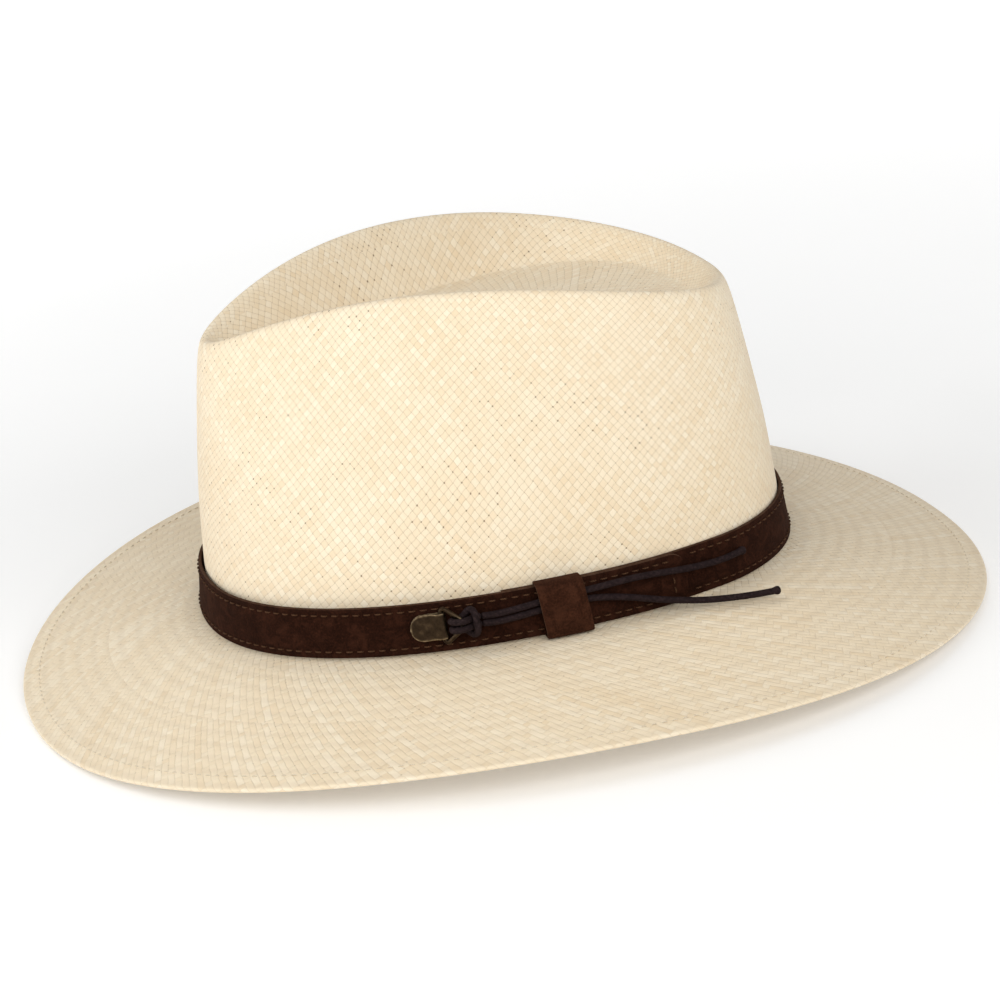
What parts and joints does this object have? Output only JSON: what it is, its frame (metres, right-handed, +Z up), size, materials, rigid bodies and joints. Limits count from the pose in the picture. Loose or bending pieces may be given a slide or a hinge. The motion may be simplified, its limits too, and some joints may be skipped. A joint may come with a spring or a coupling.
{
  "type": "panama hat",
  "caption": "Woven straw panama hat with a teardrop crown, curved snap brim, suede hat band with clip, swinging D-ring, doubled cord and sliding keeper loop, and a leather sweatband.",
  "frame": {"origin": "centre of the bounding box's bottom face; the hat rests on its brim at z = 0", "axes": "+Z up, -Y the front of the hat, +X the wearer's left, where the cord and keeper are"},
  "size_m": [0.3022, 0.3356, 0.132],
  "materials": {
    "toquilla_straw": "woven toquilla palm straw, dry and matt with a faint sheen",
    "hem_thread": "fine sewing thread",
    "sweatband_leather": "smooth tanned leather, satin",
    "sweatband_thread": "sewing thread",
    "reed_plastic": "extruded plastic reed",
    "label_cloth": "satin-woven label",
    "suede": "dark brown brushed suede, matt nap",
    "keeper_suede": "dark brown suede, matt nap, lighter cut edge",
    "band_thread": "waxed brown thread",
    "antique_brass": "antique brass, dulled and rubbed bright on its edges",
    "cord_braid": "round braided cotton cord, dark grey-brown"
  },
  "bodies": {
    "hat": {"straw_body": "toquilla_straw", "brim_hem_stitching": "hem_thread", "sweatband": "sweatband_leather", "sweatband_reed": "reed_plastic", "sweatband_stitching": "sweatband_thread", "sweatband_seam_stitching": "sweatband_thread", "size_label": "label_cloth", "hat_band": "suede", "band_upper_stitching": "band_thread", "band_lower_stitching": "band_thread", "strap_end_stitching": "band_thread", "band_tacks": "band_thread", "ring_clip": "antique_brass", "clip_rivet": "antique_brass", "cord_upper_strand": "cord_braid", "cord_lower_strand": "cord_braid"},
    "keeper": {"keeper_loop": "keeper_suede", "keeper_seam_stitching": "band_thread"},
    "ring": {"d_ring": "antique_brass", "cord_hitch": "cord_braid"}
  },
  "joints": [
    {"name": "keeper_slide", "type": "hinge", "parent": "hat", "child": "keeper", "pos_m": [-0.11486, 0.00766, 0], "axis": [0, 0, 1], "range_deg": [-3.4, 2.6]},
    {"name": "ring_swing", "type": "hinge", "parent": "hat", "child": "ring", "pos_m": [0.07877, -0.04071, 0.03349], "axis": [0.1198, 0.0163, -0.9927], "range_deg": [0, 30]}
  ]
}
